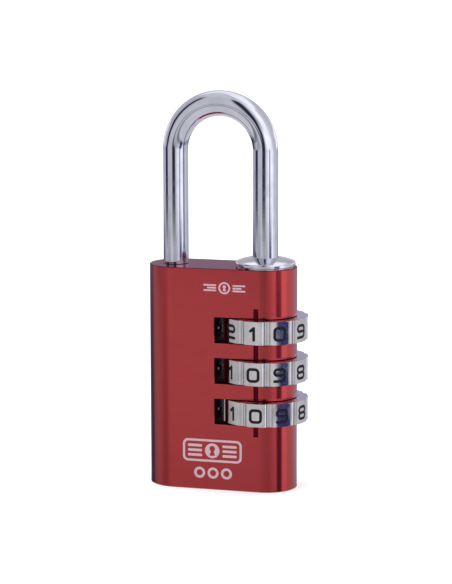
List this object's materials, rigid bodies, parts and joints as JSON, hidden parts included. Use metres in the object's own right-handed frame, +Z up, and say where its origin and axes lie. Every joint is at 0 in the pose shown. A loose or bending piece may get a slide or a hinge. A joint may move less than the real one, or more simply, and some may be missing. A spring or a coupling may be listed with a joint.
{
  "type": "combination padlock",
  "caption": "Small combination padlock: rounded red metal body, numbered dials standing out at one end, chromed U-shaped shackle with a collar round its long leg.",
  "frame": {"origin": "centre of the body's flat bottom face, midway between its rounded ends", "axes": "+Z up along the shackle legs; -Y out of the front face, where the dials are read; +X towards the end with the dials"},
  "size_m": [0.0215, 0.0114, 0.0527],
  "materials": {
    "anodised_body": "red anodised, fine brushing, satin",
    "shackle_chrome": "polished chrome plate on steel",
    "collar_chrome": "polished chrome plate",
    "dial_chrome": "satin chrome plate",
    "numeral_enamel": "black enamel",
    "brass": "machined",
    "spring_steel": "drawn",
    "ball_steel": "polished",
    "plug_steel": "turned"
  },
  "bodies": {
    "body": {"lock_body": "anodised_body", "collar": "collar_chrome", "bottom_plug": "plug_steel", "guide_bush": "brass", "stop_washer": "spring_steel", "lift_spring": "spring_steel", "spacer_1": "brass", "spacer_2": "brass", "detent_ball_1": "ball_steel", "detent_ball_2": "ball_steel", "detent_ball_3": "ball_steel", "detent_spring_1": "spring_steel", "detent_spring_2": "spring_steel", "detent_spring_3": "spring_steel"},
    "shackle": {"shackle": "shackle_chrome", "retaining_clip": "spring_steel"},
    "dial_1": {"dial_ring_1": "dial_chrome", "digit_fill_1": "numeral_enamel", "code_sleeve_1": "brass"},
    "dial_2": {"dial_ring_2": "dial_chrome", "digit_fill_2": "numeral_enamel", "code_sleeve_2": "brass"},
    "dial_3": {"dial_ring_3": "dial_chrome", "digit_fill_3": "numeral_enamel", "code_sleeve_3": "brass"}
  },
  "joints": [
    {"name": "shackle_lift", "type": "slide", "parent": "body", "child": "shackle", "axis": [0, 0, 1], "range_m": [0, 0.0053], "deforming": ["lift_spring"]},
    {"name": "dial_1_turn", "type": "hinge", "parent": "body", "child": "dial_1", "pos_m": [0.00578, 0, 0.02152], "axis": [0, 0, 1], "continuous": true},
    {"name": "dial_2_turn", "type": "hinge", "parent": "body", "child": "dial_2", "pos_m": [0.00578, 0, 0.01606], "axis": [0, 0, 1], "continuous": true},
    {"name": "dial_3_turn", "type": "hinge", "parent": "body", "child": "dial_3", "pos_m": [0.00578, 0, 0.0106], "axis": [0, 0, 1], "continuous": true}
  ]
}
